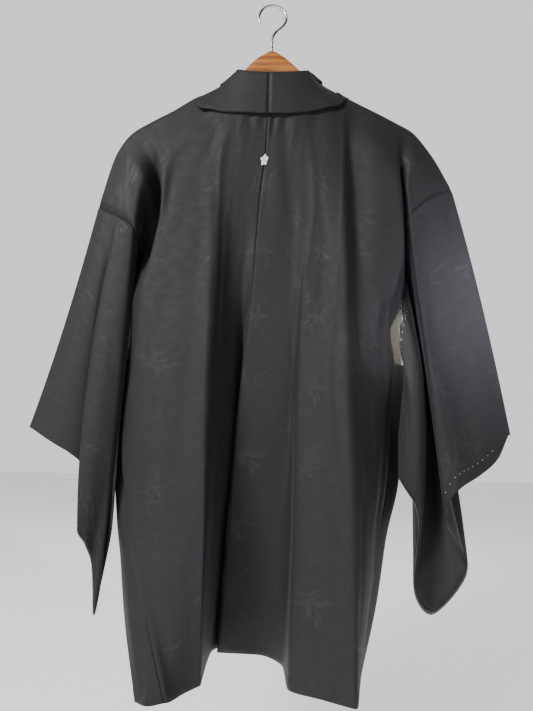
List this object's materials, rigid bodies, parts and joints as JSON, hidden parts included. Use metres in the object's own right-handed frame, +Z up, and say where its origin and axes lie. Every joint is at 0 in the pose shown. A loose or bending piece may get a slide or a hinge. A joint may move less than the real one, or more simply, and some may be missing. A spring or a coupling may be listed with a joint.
{
  "type": "haori jacket on wooden hanger",
  "caption": "Black silk haori jacket with wide open sleeves, folded collar and side gussets, hung from a plain wooden hanger with a wire hook.",
  "frame": {"origin": "inside top of the hanger's hook, where the hook rests on whatever holds it", "axes": "+Z up, the garment's back faces -Y, its fronts face +Y, the wearer's right is +X"},
  "size_m": [0.6923, 0.2498, 1.0169],
  "materials": {
    "black_silk": "black satin figured silk, tone on tone",
    "cream_lining": "cream silk lining",
    "white_crest": "white thread",
    "hanger_wood": "varnished orange-brown wood",
    "hook_wire": "plain wire"
  },
  "bodies": {
    "root": {"body_left": "black_silk", "body_right": "black_silk", "sleeve_left": "black_silk", "sleeve_right": "black_silk", "gusset_left": "black_silk", "gusset_right": "black_silk", "collar_left": "black_silk", "collar_right": "black_silk", "crest": "white_crest", "lining_right": "cream_lining", "hanger_wood": "hanger_wood", "hanger_hook": "hook_wire"}
  },
  "joints": []
}
